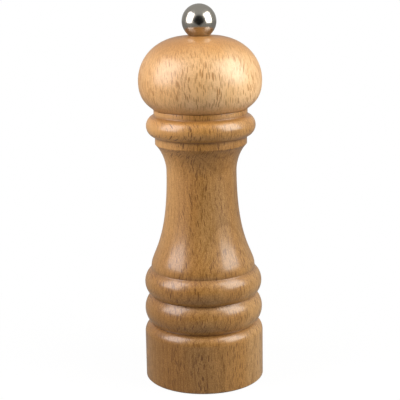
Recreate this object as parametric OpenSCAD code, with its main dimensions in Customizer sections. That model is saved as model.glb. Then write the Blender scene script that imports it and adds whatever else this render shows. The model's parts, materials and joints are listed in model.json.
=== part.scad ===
// Turned pepper mill: beech body and head, steel ball adjuster, and the burr
// mechanism in the foot. Millimetres, +Z up, origin at the middle of the foot's rim.

/* [Foot] */
// Diameter of the foot
foot_d = 64.8; // [62:0.1:72]
// Height of the foot's plain wall
foot_wall_h = 26; // [20:0.5:30]
// Chamfer on the outer edge of the rim
rim_chamfer = 0.8; // [0.3:0.1:1.5]
// Height of the quarter round above the wall
shoulder_h = 5.6; // [4:0.1:7]
// How far the quarter round swells past its chord
shoulder_swell = 1; // [0.5:0.1:1.6]

/* [Beads] */
// Diameter of the two creases below the beads
crease_d = 57.2; // [54:0.1:60]
// Height of the lower bead
lower_bead_h = 15.8; // [12:0.1:18]
// Height of the upper bead
upper_bead_h = 14.4; // [12:0.1:18]
// How far the two beads swell past their chords
bead_swell = 3.5; // [2.5:0.1:5]

/* [Waist] */
// Diameter of the flare's lip on the upper bead
lip_d = 56.2; // [54:0.1:60]
// Height of the flare, from its lip to the narrowest place
flare_h = 53.5; // [48:0.5:60]
// Diameter at the narrowest place
waist_d = 37.7; // [36:0.1:44]
// Height of the cove, from the narrowest place to the step
cove_h = 15; // [12:0.5:20]

/* [Collar] */
// Diameter of the step under the collar bead
step_d = 49.2; // [46:0.1:54]
// Height of the step
step_h = 4; // [2:0.1:6]
// Height of the collar bead
collar_h = 11.6; // [9:0.1:15]
// How far the collar bead swells past its chord
collar_swell = 4.4; // [3:0.1:5.5]
// Diameter of the neck
neck_d = 50; // [48:0.1:54]
// Height of the neck
neck_h = 3; // [1.5:0.1:6]

/* [Head] */
// Largest diameter of the head
head_d = 65.5; // [60:0.1:70]
// Diameter of the head's lower edge
head_edge_d = 50; // [46:0.1:54]
// Height from the lower edge to the largest diameter
head_cheek_h = 14.8; // [12:0.1:18]
// Height from the largest diameter to the top
head_dome_h = 23.5; // [19:0.1:28]
// Width of the flat that shows round the knob
head_flat_w = 0.9; // [0.5:0.1:3]
// Length of the tenon that turns in the body
tenon_h = 8.5; // [6:0.1:12]
// Depth of the narrow hole at the top of the head
top_hole_h = 9; // [5:0.1:12]

/* [Knob] */
// Diameter of the ball
ball_d = 18.2; // [15:0.1:22]
// How far the ball's lowest point would lie below the top of the head
ball_sink = 1.7; // [1:0.1:2.4]
// How far the cone under the ball stands out round the ball at its foot
knob_flare = 0.3; // [0.1:0.05:0.8]

/* [Bores] */
// Diameter of the peppercorn chamber
chamber_d = 25; // [22:0.1:27]
// Width of the ledge between the chamber and the neck's socket
socket_ledge = 2.4; // [1.6:0.1:3.4]

/* [Burrs] */
// Largest diameter of the rotor
rotor_d = 23.2; // [20:0.1:25]
// How much the burrs narrow on each side over the fine teeth
burr_taper = 1.2; // [0.6:0.1:2]
// Height of the fine teeth
fine_h = 6.8; // [5:0.1:9]
// Height of the coarse flutes on the rotor
coarse_h = 6; // [4.5:0.1:8]
// Height of the funnel on the stator
funnel_h = 5.5; // [4:0.1:7]
// Gap between the two burrs, square to the axis
burr_gap = 0.5; // [0.45:0.05:0.8]
// Thickness of the stator at its lower rim
stator_wall = 2.85; // [2.2:0.05:4]
// Fine teeth on the rotor
rotor_teeth = 32; // [24:1:36]
// Fine teeth in the stator
stator_teeth = 36; // [24:1:40]
// Flutes on the rotor's upper cone
rotor_flutes = 6; // [4:1:8]
// Flutes in the stator's funnel
stator_flutes = 12; // [8:1:16]
// Depth of a fine tooth
fine_depth = 0.7; // [0.4:0.1:1]
// Depth of a flute
flute_depth = 1.4; // [0.8:0.1:1.8]

/* [Housing] */
// Thickness of the pressed shell and its flange
shell_wall = 1.2; // [0.8:0.1:1.6]
// Width of the flange round the shell
flange_w = 7; // [6.2:0.1:8]
// Thickness of the flange
flange_t = 1.5; // [1:0.1:2]
// Width of the shoulder that the stator rests against
shoulder_w = 1.4; // [1:0.1:2]
// Height of the bridge over the burrs
bridge_h = 2.5; // [2:0.1:4]
// Width of each of the bridge's spokes
spoke_w = 3.2; // [2:0.1:4]
// Depth of the recess under the foot
recess_h = 9; // [8.6:0.1:12]

/* [Spindle] */
// Width of the square spindle across its flats
spindle_w = 6; // [5:0.1:6.4]
// Diameter of the spindle's thread
thread_d = 5; // [4:0.1:5.2]
// How far the thread ends above the ball's middle
thread_reach = 0.5; // [-1:0.1:2]
// Diameter of the journal below the rotor
journal_d = 5; // [4:0.1:5.4]
// Depth of the clip's groove in the journal
groove_depth = 0.5; // [0.3:0.1:0.8]
// Thickness of the bush's flange
bush_flange_t = 1; // [0.8:0.1:1.5]
// Free length of the spring between its seats
spring_h = 9; // [7:0.1:12]
// Diameter of the spring's wire
wire_d = 0.9; // [0.6:0.05:1]
// Turns of the spring between its closed ends
spring_turns = 3.5; // [2.5:0.5:5]
// Thickness of the thrust washer
thrust_t = 0.75; // [0.5:0.05:1]
// Thickness of the washer under the rotor
washer_t = 0.8; // [0.5:0.05:1.2]
// Thickness of the clip
clip_t = 0.7; // [0.5:0.05:1]
// How far the rotor can be let down for a coarse grind
coarse_travel = 1.2; // [0.8:0.1:1.4]

/* [Fixings] */
// Thickness of the drive plate
plate_t = 1.5; // [1:0.1:2]
// Width of the retaining bar
bar_w = 9; // [8:0.1:11]
// Thickness of the retaining bar
bar_t = 1.5; // [1:0.1:1.8]
// Diameter of the wood screws through the bar
bar_screw_d = 2.9; // [2.4:0.1:3.2]
// Length of the wood screws under their heads
bar_screw_h = 13; // [10:0.5:16]
// Diameter of the wood screws in the drive plate
plate_screw_d = 2.6; // [2.2:0.1:2.8]
// Length of the wood screws in the drive plate
plate_screw_h = 9; // [6:0.5:12]

/* [Clearances] */
// Between the head's lower edge and the neck, and under the knob
seat_gap = 0.1; // [0.05:0.05:0.2]
// Round the tenon in its socket
tenon_gap = 0.3; // [0.2:0.05:0.5]
// Round the housing and its flange in the wood
wood_gap = 0.2; // [0.1:0.05:0.4]
// Round fixed parts pushed into one another
snug_gap = 0.05; // [0.02:0.01:0.1]
// Round turning and sliding parts
running_gap = 0.1; // [0.05:0.01:0.15]
// Between the spindle's corners and the long hole through the head
head_bore_gap = 0.65; // [0.4:0.05:1]

/* [Hidden] */
$fn = 96;
eps = 0.01;

// Small fixed margins of the metalwork
rotor_lift = 0.7;
key_w = 4;
spring_slack = 0.6;
bush_wall = 1;
bush_overrun = 0.6;
hub_wall = 1.8;
hub_step = 0.3;
crown_rim = 0.5;
thrust_rim = 0.7;
washer_rim = 0.4;
clip_rim = 2.1;
bar_foot_rim = 1.6;
bar_clearance = 0.3;
bar_bend = 0.6;
spindle_overhang = 1;
end_chamfer = 0.5;
thread_chamfer = 0.6;
rotor_skirt = 2;
shell_turn_h = 1.4;
chamber_margin = 0.3;
hole_overrun = 0.5;
hole_cone_h = 1.5;
thread_below_hole = 3;
plate_margin = 1;
key_bite = 1;
knob_bore_slack = 1.2;
knob_trim = 1;
corner_share = 0.683;

// Handles of the turned curves: millimetres where both are given, else shares of the height or the width
flare_leave = [1.2, 0.15];
flare_arrive = 0.78;
cove_leave = 0.4;
cove_arrive = [0.27, 0.2];
cheek_leave = [3.7, 2.8];
cheek_arrive = 0.6;
crown_leave = 0.55;
crown_arrive = 0.24;

// Screws: head and slot as shares of the head, and the length of the points
head_width_share = 0.95;
head_height_share = 0.6;
head_flat_share = 0.5;
head_side_share = 0.35;
head_crown_share = 0.12;
slot_reach_share = 0.55;
slot_depth_share = 0.55;
bar_slot_w = 0.7;
bar_point_h = 2.5;
plate_slot_w = 0.6;
plate_slot_share = 0.6;
plate_point_h = 2;

// Clip: width of its mouth as a share of its hole, and the pockets beside its teeth
clip_mouth_share = 0.9;
clip_mouth_reach = 3;
clip_pocket_w = 1.4;
clip_pocket_depth = 0.7;
clip_pocket_turn = 5;

// Cutters for the burrs: width across, lean of the V, and how far they start off the cone
tooth_w = 1.4;
tooth_lean = 20;
flute_w = 3;
flute_lean = 30;
cutter_proud = 0.6;
cutter_flat = 0.15;
cutter_overrun = 2;

// Heights of the body's outline
crease_z = foot_wall_h + shoulder_h;
bead_z = crease_z + lower_bead_h;
lip_z = bead_z + upper_bead_h;
waist_z = lip_z + flare_h;
step_z = waist_z + cove_h;
collar_z = step_z + step_h;
collar_top_z = collar_z + collar_h;
neck_z = collar_top_z + neck_h;

// Head and knob
head_z = neck_z + seat_gap;
cheek_z = head_z + head_cheek_h;
head_top_z = cheek_z + head_dome_h;
tenon_z = head_z - tenon_h;
knob_z = head_top_z + seat_gap;
ball_r = ball_d / 2;
ball_lift = ball_r - ball_sink;
ball_z = knob_z + ball_lift;
knob_foot_r = sqrt(ball_r * ball_r - ball_lift * ball_lift) + knob_flare;
// Where the cone under the ball runs into it, as an angle above the ball's middle
knob_angle = acos(ball_r / norm([knob_foot_r, ball_lift])) - atan2(ball_lift, knob_foot_r);

// Burrs, from the flange's lower face upwards
flange_z = recess_h - flange_t;
rotor_r = rotor_d / 2;
rotor_z = flange_z + rotor_lift;
fine_z = rotor_z + fine_h;
rotor_top_z = fine_z + coarse_h;
stator_top_z = fine_z + funnel_h;
rotor_neck_r = rotor_r - burr_taper;
stator_mouth_r = rotor_r + burr_gap + burr_taper * rotor_lift / fine_h;
stator_neck_r = rotor_neck_r + burr_gap;
stator_r = rotor_r + burr_gap + stator_wall;

// Housing
shell_in_r = stator_r + snug_gap;
shell_r = shell_in_r + shell_wall;
shell_upper_r = shell_in_r - shoulder_w;
flange_r = shell_r + flange_w;
recess_r = flange_r + wood_gap;
housing_bore_r = shell_r + wood_gap;
key_r = shell_in_r + shell_wall;

// Spindle and what is threaded on it
spindle_corner_r = spindle_w * corner_share;
square_hole_w = spindle_w + 2 * running_gap;
thread_r = thread_d / 2;
journal_r = journal_d / 2;
thread_top_z = ball_z + thread_reach;
thread_z = head_top_z - top_hole_h - thread_below_hole;
spring_r = spindle_corner_r + spring_slack + wire_d / 2;
spring_out_r = spring_r + wire_d / 2;
spring_top_z = rotor_top_z + spring_h;
thrust_top_z = spring_top_z + thrust_t;
bush_z = thrust_top_z + snug_gap;
bridge_z = bush_z + bush_flange_t;
shell_top_z = bridge_z + bridge_h;
bush_r = spindle_corner_r + running_gap + bush_wall;
hub_r = bush_r + hub_wall;
rotor_top_r = spring_out_r + crown_rim;

// Below the rotor
washer_z = rotor_z - washer_t;
clip_z = washer_z - clip_t;
bar_top_z = clip_z - coarse_travel - bar_clearance;
bar_drop = flange_z - bar_top_z;
spindle_z = bar_top_z - bar_t - spindle_overhang;
bar_foot_r = rotor_r + bar_foot_rim;
bar_screw_x = (shell_r + flange_r) / 2;
screw_head_r = bar_screw_d * head_width_share;
screw_head_h = bar_screw_d * head_height_share;

// Bores in the wood
chamber_r = chamber_d / 2;
chamber_z = shell_top_z + chamber_margin;
socket_r = chamber_r + socket_ledge;
socket_z = tenon_z - plate_t;
tenon_r = socket_r - tenon_gap;
head_bore_r = spindle_corner_r + head_bore_gap;
top_hole_r = thread_r + hole_overrun;
plate_r = chamber_r - plate_margin;
plate_screw_circle_r = (square_hole_w * sqrt(2) / 2 + plate_r) / 2;

// Points of an arc from p to q that stands sag proud of its chord, without p itself
function arc(p, q, sag, steps) = let (
    chord = norm(q - p),
    along = (q - p) / chord,
    out = [along[1], -along[0]],
    radius = (chord * chord / 4 + sag * sag) / (2 * sag),
    half = 2 * atan(2 * sag / chord),
    centre = (p + q) / 2 + out * (sag - radius))
    [for (i = [1:steps]) let (a = half * (2 * i / steps - 1))
        centre + radius * (cos(a) * out + sin(a) * along)];

// Points of a cubic curve from a to d that leaves a towards b and reaches d from c, without a
function curve(a, b, c, d, steps) =
    [for (i = [1:steps]) let (t = i / steps, u = 1 - t)
        u * u * u * a + 3 * u * u * t * b + 3 * u * t * t * c + t * t * t * d];

// Outline of the body from the rim to the neck
function body_side() = let (
    foot_r = foot_d / 2,
    wall_top = [foot_r, foot_wall_h],
    crease = [crease_d / 2, crease_z],
    bead = [crease_d / 2, bead_z],
    lip = [lip_d / 2, lip_z],
    waist = [waist_d / 2, waist_z],
    step = [step_d / 2, step_z],
    collar = [step_d / 2, collar_z],
    neck = [neck_d / 2, collar_top_z])
    concat(
        [[foot_r - rim_chamfer, 0], [foot_r, rim_chamfer], wall_top],
        arc(wall_top, crease, shoulder_swell, 8),
        arc(crease, bead, bead_swell, 16),
        arc(bead, lip, bead_swell, 16),
        curve(lip, lip + [flare_leave[0], flare_leave[1] * flare_h], waist - [0, flare_arrive * flare_h], waist, 22),
        curve(waist, waist + [0, cove_leave * cove_h],
            step - [cove_arrive[0] * (step_d - waist_d), cove_arrive[1] * cove_h], step, 14),
        [collar],
        arc(collar, neck, collar_swell, 14),
        [[neck_d / 2, neck_z]]);

// Stepped bore of the body from the neck down to the rim
function body_bore() = [
    [socket_r, neck_z], [socket_r, socket_z],
    [chamber_r, socket_z], [chamber_r, chamber_z],
    [housing_bore_r, chamber_z], [housing_bore_r, recess_h],
    [recess_r, recess_h], [recess_r, 0]];

// Outline of the head from its lower edge to the flat on top
function head_side() = let (
    edge = [head_edge_d / 2, head_z],
    cheek = [head_d / 2, cheek_z],
    flat = [knob_foot_r + head_flat_w, head_top_z],
    rise = [0, cheek_arrive * head_cheek_h],
    crown = [0, crown_leave * head_dome_h],
    shelf = [crown_arrive * head_d, 0])
    concat([edge],
        curve(edge, edge + cheek_leave, cheek - rise, cheek, 12),
        curve(cheek, cheek + crown, flat + shelf, flat, 22));

// Children copied count times round the axis
module around(count, offset_angle = 0) {
    for (i = [0:count - 1])
        rotate([0, 0, offset_angle + i * 360 / count])
            children();
}

// One V groove along a cone from low to high, both [radius, height], cut depth deep
// into the side that faces outwards, or inwards when inside is true
module cone_groove(low, high, depth, width, lean, inside = false) {
    run = high - low;
    middle = (low + high) / 2;
    translate([middle[0], 0, middle[1]])
        rotate([0, atan2(run[0], run[1]), 0])
            rotate([lean, 0, inside ? 180 : 0])
                linear_extrude(height = norm(run) + cutter_overrun, center = true)
                    polygon([[cutter_proud, -width / 2], [cutter_proud, width / 2], [-depth, -width / 2 + cutter_flat]]);
}

// Square hole that slides along the spindle
module square_hole(low, high) {
    translate([-square_hole_w / 2, -square_hole_w / 2, low - eps])
        cube([square_hole_w, square_hole_w, high - low + 2 * eps]);
}

module body() {
    color("burlywood")
    difference() {
        rotate_extrude()
            polygon(concat(body_side(), body_bore()));
        around(2)
            translate([bar_screw_x, 0, recess_h - eps])
                cylinder(h = bar_screw_h - flange_t - bar_t + 2 * hole_overrun, r = bar_screw_d / 2 + snug_gap, $fn = 24);
    }
}

module mechanism_housing() {
    shell_turn_z = stator_top_z + shell_wall;
    color("silver")
    difference() {
        union() {
            rotate_extrude()
                polygon([
                    [shell_in_r, flange_z], [flange_r, flange_z], [flange_r, recess_h],
                    [shell_r, recess_h], [shell_r, shell_turn_z],
                    [shell_upper_r + shell_wall, shell_turn_z + shell_turn_h],
                    [shell_upper_r + shell_wall, shell_top_z], [shell_upper_r, shell_top_z],
                    [shell_upper_r, stator_top_z], [shell_in_r, stator_top_z]]);
            translate([0, 0, bridge_z])
                cylinder(h = bridge_h, r = hub_r);
            around(3, 30)
                translate([0, -spoke_w / 2, bridge_z])
                    cube([shell_upper_r + shell_wall / 2, spoke_w, bridge_h]);
        }
        translate([0, 0, bridge_z - eps])
            cylinder(h = bridge_h + 2 * eps, r = bush_r + snug_gap);
        around(3, 90)
            translate([0, -key_w / 2 - snug_gap, flange_z - eps])
                cube([key_r + snug_gap, key_w + 2 * snug_gap, flange_t + snug_gap + eps]);
        around(2)
            translate([bar_screw_x, 0, flange_z - eps])
                cylinder(h = flange_t + 2 * eps, r = bar_screw_d / 2 + running_gap, $fn = 24);
    }
}

module guide_bush() {
    color("ivory")
    difference() {
        union() {
            translate([0, 0, bush_z])
                cylinder(h = bush_flange_t + bridge_h + bush_overrun, r = bush_r);
            translate([0, 0, bush_z])
                cylinder(h = bush_flange_t, r = hub_r - hub_step);
        }
        translate([0, 0, bush_z - eps])
            cylinder(h = bush_flange_t + bridge_h + bush_overrun + 2 * eps, r = spindle_corner_r + running_gap);
    }
}

module stator_ring() {
    mouth = [stator_mouth_r, flange_z];
    throat = [stator_neck_r, fine_z];
    funnel = [shell_upper_r, stator_top_z];
    color("dimgray")
    difference() {
        union() {
            rotate_extrude()
                polygon([mouth, [stator_r, flange_z], [stator_r, stator_top_z], funnel, throat]);
            around(3, 90)
                translate([stator_r - key_bite, -key_w / 2, flange_z])
                    cube([key_r - stator_r + key_bite, key_w, flange_t]);
        }
        around(stator_teeth)
            cone_groove(mouth, throat, fine_depth, tooth_w, tooth_lean, inside = true);
        around(stator_flutes)
            cone_groove(throat, funnel, flute_depth, flute_w, -flute_lean, inside = true);
    }
}

module rotor() {
    skirt = [rotor_r, rotor_z];
    throat = [rotor_neck_r, fine_z];
    crown = [rotor_top_r, rotor_top_z];
    color("gray")
    difference() {
        rotate_extrude()
            polygon([
                [0, rotor_z], [rotor_top_r, rotor_z], [rotor_top_r, rotor_z + fine_h / 2],
                [rotor_neck_r - rotor_skirt, rotor_z + fine_h / 2], [rotor_r - rotor_skirt, rotor_z],
                skirt, throat, crown, [0, rotor_top_z]]);
        square_hole(rotor_z, rotor_top_z);
        around(rotor_teeth)
            cone_groove(skirt, throat, fine_depth, tooth_w, tooth_lean);
        around(rotor_flutes)
            cone_groove(throat, crown, flute_depth, flute_w, flute_lean);
    }
}

module thrust_washer() {
    color("silver")
    difference() {
        translate([0, 0, spring_top_z])
            cylinder(h = thrust_t, r = spring_out_r + thrust_rim);
        square_hole(spring_top_z, thrust_top_z);
    }
}

// Coil with a closed turn at each end, swept as rings of eight points
module spring() {
    sides = 8;
    rings_per_turn = 14;
    turns = spring_turns + 2;
    rings = ceil(turns * rings_per_turn);
    closed_rise = wire_d + snug_gap;
    low_z = rotor_top_z + wire_d / 2;
    open_rise = spring_h - wire_d - 2 * closed_rise;
    function coil_z(t) = low_z + (t < 1 ? closed_rise * t
        : t > turns - 1 ? spring_h - wire_d - closed_rise * (turns - t)
        : closed_rise + open_rise * (t - 1) / spring_turns);
    points = [for (i = [0:rings]) let (t = turns * i / rings, a = 360 * t)
        for (k = [0:sides - 1]) let (b = 360 * k / sides, r = spring_r + wire_d / 2 * cos(b))
            [r * cos(a), r * sin(a), coil_z(t) + wire_d / 2 * sin(b)]];
    skin = [for (i = [0:rings - 1]) for (k = [0:sides - 1]) let (j = (k + 1) % sides)
        [i * sides + k, (i + 1) * sides + k, (i + 1) * sides + j, i * sides + j]];
    ends = [[for (k = [0:sides - 1]) k],
        [for (k = [sides - 1:-1:0]) rings * sides + k]];
    color("lightsteelblue")
    polyhedron(points, concat(skin, ends));
}

module spindle() {
    color("silver")
    union() {
        intersection() {
            translate([-spindle_w / 2, -spindle_w / 2, rotor_z])
                cube([spindle_w, spindle_w, thread_z - rotor_z]);
            translate([0, 0, rotor_z])
                cylinder(h = thread_z - rotor_z, r = spindle_corner_r);
        }
        rotate_extrude()
            polygon([
                [0, spindle_z], [journal_r - end_chamfer, spindle_z], [journal_r, spindle_z + end_chamfer],
                [journal_r, clip_z], [journal_r - groove_depth, clip_z],
                [journal_r - groove_depth, washer_z], [journal_r, washer_z],
                [journal_r, rotor_z + eps], [0, rotor_z + eps]]);
        rotate_extrude()
            polygon([
                [0, thread_z - eps], [thread_r, thread_z - eps], [thread_r, thread_top_z - thread_chamfer],
                [thread_r - thread_chamfer, thread_top_z], [0, thread_top_z]]);
    }
}

module rotor_washer() {
    color("silver")
    difference() {
        translate([0, 0, washer_z])
            cylinder(h = washer_t, r = rotor_top_r - washer_rim);
        translate([0, 0, washer_z - eps])
            cylinder(h = washer_t + 2 * eps, r = journal_r + snug_gap);
    }
}

// E-clip: an open ring with a mouth towards +Y and two pockets beside its teeth
module rotor_clip() {
    groove_r = journal_r - groove_depth + snug_gap;
    color("darkslategray")
    difference() {
        translate([0, 0, clip_z])
            cylinder(h = clip_t, r = journal_r + clip_rim);
        translate([0, 0, clip_z - eps])
            cylinder(h = clip_t + 2 * eps, r = groove_r);
        translate([-groove_r * clip_mouth_share, 0, clip_z - eps])
            cube([2 * groove_r * clip_mouth_share, journal_r + clip_mouth_reach, clip_t + 2 * eps]);
        around(2, clip_pocket_turn)
            translate([0, -clip_pocket_w / 2, clip_z - eps])
                cube([journal_r + clip_pocket_depth, clip_pocket_w, clip_t + 2 * eps]);
    }
}

module retaining_bar() {
    bar_r = flange_r - bar_clearance;
    color("silver")
    difference() {
        intersection() {
            translate([0, bar_w / 2, 0])
                rotate([90, 0, 0])
                    linear_extrude(height = bar_w)
                        polygon([
                            [-bar_r, flange_z], [-bar_foot_r, flange_z], [-bar_foot_r + bar_drop, bar_top_z],
                            [bar_foot_r - bar_drop, bar_top_z], [bar_foot_r, flange_z], [bar_r, flange_z],
                            [bar_r, flange_z - bar_t], [bar_foot_r + bar_bend, flange_z - bar_t],
                            [bar_foot_r - bar_drop + bar_bend, bar_top_z - bar_t],
                            [-bar_foot_r + bar_drop - bar_bend, bar_top_z - bar_t],
                            [-bar_foot_r - bar_bend, flange_z - bar_t], [-bar_r, flange_z - bar_t]]);
            cylinder(h = recess_h, r = bar_r);
        }
        translate([0, 0, bar_top_z - bar_t - eps])
            cylinder(h = bar_t + 2 * eps, r = journal_r + snug_gap, $fn = 48);
        around(2)
            translate([bar_screw_x, 0, flange_z - bar_t - eps])
                cylinder(h = bar_t + 2 * eps, r = bar_screw_d / 2 + running_gap, $fn = 24);
    }
}

// Pan-head wood screw, point up, with the underside of its head at height z
module pan_screw(z, shank_r, length, head_r, head_h) {
    difference() {
        translate([0, 0, z])
            rotate_extrude($fn = 32)
                polygon(concat(
                    [[0, -head_h], [head_r * head_flat_share, -head_h]],
                    arc([head_r * head_flat_share, -head_h], [head_r, -head_h * head_side_share],
                        head_h * head_crown_share, 5),
                    [[head_r, 0], [shank_r, 0], [shank_r, length - bar_point_h], [0, length]]));
        for (turn = [0, 90])
            rotate([0, 0, turn])
                translate([-head_r * slot_reach_share, -bar_slot_w / 2, z - head_h - eps])
                    cube([2 * head_r * slot_reach_share, bar_slot_w, head_h * slot_depth_share]);
    }
}

module bar_screws() {
    color("silver")
    around(2)
        translate([bar_screw_x, 0, 0])
            pan_screw(flange_z - bar_t, bar_screw_d / 2, bar_screw_h, screw_head_r, screw_head_h);
}

module head() {
    color("wheat")
    difference() {
        rotate_extrude()
            polygon(concat(head_side(), [
                [top_hole_r, head_top_z], [top_hole_r, head_top_z - top_hole_h],
                [head_bore_r, head_top_z - top_hole_h - hole_cone_h], [head_bore_r, tenon_z],
                [tenon_r - end_chamfer, tenon_z], [tenon_r, tenon_z + end_chamfer], [tenon_r, head_z]]));
        around(3)
            translate([plate_screw_circle_r, 0, tenon_z - eps])
                cylinder(h = plate_screw_h - plate_t + hole_overrun, r = plate_screw_d / 2 + snug_gap, $fn = 24);
    }
}

module drive_plate() {
    low_z = tenon_z - plate_t;
    color("silver")
    difference() {
        translate([0, 0, low_z])
            cylinder(h = plate_t, r = plate_r);
        square_hole(low_z, tenon_z);
        around(3)
            translate([plate_screw_circle_r, 0, low_z - eps])
                cylinder(h = plate_t + 2 * eps, r1 = plate_screw_d + snug_gap, r2 = plate_screw_d / 2 + snug_gap,
                    $fn = 32);
    }
}

module drive_plate_screws() {
    low_z = tenon_z - plate_t;
    shank_r = plate_screw_d / 2;
    color("silver")
    around(3)
        translate([plate_screw_circle_r, 0, low_z])
            difference() {
                rotate_extrude($fn = 32)
                    polygon([
                        [0, 0], [plate_screw_d, 0], [shank_r, plate_t],
                        [shank_r, plate_screw_h - plate_point_h], [0, plate_screw_h]]);
                for (turn = [0, 90])
                    rotate([0, 0, turn])
                        translate([-shank_r, -plate_slot_w / 2, -eps])
                            cube([2 * shank_r, plate_slot_w, plate_t * plate_slot_share]);
            }
}

module ball_knob() {
    join_r = ball_r * cos(knob_angle);
    join_z = ball_z + ball_r * sin(knob_angle);
    color("gainsboro")
    difference() {
        union() {
            translate([0, 0, ball_z])
                sphere(r = ball_r);
            translate([0, 0, knob_z])
                cylinder(h = join_z - knob_z, r1 = knob_foot_r, r2 = join_r);
        }
        translate([0, 0, knob_z - ball_sink - knob_trim])
            cylinder(h = ball_sink + knob_trim, r = knob_foot_r);
        translate([0, 0, knob_z - eps])
            cylinder(h = thread_top_z - knob_z + knob_bore_slack, r = thread_r + snug_gap, $fn = 48);
    }
}

body();
mechanism_housing();
guide_bush();
stator_ring();
retaining_bar();
bar_screws();
thrust_washer();
spring();
spindle();
rotor();
rotor_washer();
rotor_clip();
head();
drive_plate();
drive_plate_screws();
ball_knob();
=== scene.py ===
# Pepper mill: turned beech body and head, polished ball knob, burr mechanism in the foot.
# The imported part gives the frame, in metres, and the dictionaries below are in millimetres
# unless they say otherwise. Body, head, knob, spindle and spring are modelled again here
# with finer outlines. The stampings, screws and moulded bush are copies of the packed
# shapes with their edges broken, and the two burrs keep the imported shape.

import json
import math

import bpy
from mathutils import Matrix, Vector


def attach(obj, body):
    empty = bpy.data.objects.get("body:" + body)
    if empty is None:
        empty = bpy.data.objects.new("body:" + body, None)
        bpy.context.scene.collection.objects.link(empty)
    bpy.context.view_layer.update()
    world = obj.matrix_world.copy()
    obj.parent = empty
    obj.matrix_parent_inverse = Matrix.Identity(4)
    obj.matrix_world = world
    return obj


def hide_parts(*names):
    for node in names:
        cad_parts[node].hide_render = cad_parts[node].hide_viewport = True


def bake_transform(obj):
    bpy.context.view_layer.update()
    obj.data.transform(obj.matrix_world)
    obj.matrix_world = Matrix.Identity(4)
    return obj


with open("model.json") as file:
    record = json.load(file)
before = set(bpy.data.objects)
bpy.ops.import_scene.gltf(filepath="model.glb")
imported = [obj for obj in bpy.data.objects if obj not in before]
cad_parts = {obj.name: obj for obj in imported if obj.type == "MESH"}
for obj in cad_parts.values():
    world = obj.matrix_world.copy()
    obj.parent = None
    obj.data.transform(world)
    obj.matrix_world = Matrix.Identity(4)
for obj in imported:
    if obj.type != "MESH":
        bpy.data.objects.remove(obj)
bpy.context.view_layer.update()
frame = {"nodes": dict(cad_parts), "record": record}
nodes = frame["nodes"]
slotOf = {part["node"]: part["material_slot"] for part in frame["record"]["subparts"]}
bodyOf = {name: body for body, names in frame["record"]["behaviour"]["bodies"].items() for name in names}
mm = 0.001
mergeGap = 0.002
print("frame loaded:", len(nodes), "nodes")


# drawing and turning
def deselectAll():
    if bpy.context.mode != "OBJECT":
        bpy.ops.object.mode_set(mode="OBJECT")
    bpy.ops.object.select_all(action="DESELECT")


def pickOnly(piece):
    deselectAll()
    piece.select_set(True)
    bpy.context.view_layer.objects.active = piece


def mergeDoubles():
    # in edit mode: points that coincide become one
    bpy.ops.mesh.select_all(action="SELECT")
    bpy.ops.mesh.remove_doubles(threshold=mergeGap * mm)


def faceOutwards():
    # turns every face of the piece in edit mode outwards, and leaves edit mode
    bpy.ops.mesh.select_all(action="SELECT")
    bpy.ops.mesh.normals_make_consistent(inside=False)
    bpy.ops.object.mode_set(mode="OBJECT")


def arcPoints(start, end, swell, steps):
    # an arc that stands swell proud of its chord, without its first point
    a, b = Vector(start), Vector(end)
    chord = (b - a).length
    along = (b - a) / chord
    out = Vector((along.y, -along.x))
    radius = (chord * chord / 4 + swell * swell) / (2 * swell)
    half = 2 * math.atan(2 * swell / chord)
    centre = (a + b) / 2 + out * (swell - radius)
    turns = [half * (2 * i / steps - 1) for i in range(1, steps + 1)]
    return [centre + radius * (math.cos(t) * out + math.sin(t) * along) for t in turns]


def curvePoints(start, leave, arrive, end, steps):
    # a cubic curve, without its first point
    a, b, c, d = Vector(start), Vector(leave), Vector(arrive), Vector(end)
    found = []
    for i in range(1, steps + 1):
        t = i / steps
        u = 1 - t
        found.append(u * u * u * a + 3 * u * u * t * b + 3 * u * t * t * c + t * t * t * d)
    return found


def drawLine(name, places):
    # draws a line through the places by extruding one vertex, and stays in edit mode
    deselectAll()
    points = [Vector(p) * mm for p in places]
    bpy.ops.mesh.primitive_plane_add(size=mm, location=(0, 0, 0))
    piece = bpy.context.active_object
    piece.name = piece.data.name = name
    bpy.ops.object.mode_set(mode="EDIT")
    bpy.ops.mesh.select_mode(type="VERT")
    bpy.ops.mesh.select_all(action="SELECT")
    bpy.ops.mesh.merge(type="CENTER")
    bpy.ops.transform.translate(value=points[0])
    for before, after in zip(points, points[1:]):
        bpy.ops.mesh.extrude_vertices_move(TRANSFORM_OT_translate={"value": after - before})
    bpy.ops.mesh.select_all(action="SELECT")
    return piece


def turnOutline(name, outline, steps):
    # spins an outline of (radius, height) round the axis
    piece = drawLine(name, [(p[0], 0, p[1]) for p in outline])
    bpy.ops.mesh.spin(steps=steps, angle=2 * math.pi, center=(0, 0, 0), axis=(0, 0, 1))
    mergeDoubles()
    faceOutwards()
    return piece


# finishing a piece
def roundEdges(piece, width, sharpness, clamped=True):
    # breaks every edge that is sharper than the angle in degrees
    pickOnly(piece)
    bpy.ops.object.mode_set(mode="EDIT")
    bpy.ops.mesh.select_mode(type="EDGE")
    bpy.ops.mesh.select_all(action="DESELECT")
    bpy.ops.mesh.edges_select_sharp(sharpness=math.radians(sharpness))
    bpy.ops.mesh.bevel(offset=width * mm, segments=2, affect="EDGES", clamp_overlap=clamped)
    bpy.ops.object.mode_set(mode="OBJECT")


def shadeSmooth(piece, angle=35):
    pickOnly(piece)
    bpy.ops.object.shade_smooth_by_angle(angle=math.radians(angle))
    # the larger faces lead, so that a flat stays flat beside its rounded edge
    weighted = piece.modifiers.new("weighted", "WEIGHTED_NORMAL")
    weighted.keep_sharp = True
    bpy.ops.object.modifier_apply(modifier=weighted.name)


def paint(piece, slot):
    piece.data.materials.clear()
    piece.data.materials.append(finishes[slot])


def putOnBody(piece, body, slot, *stoodFor):
    paint(piece, slot)
    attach(piece, body)
    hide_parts(*stoodFor)


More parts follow.
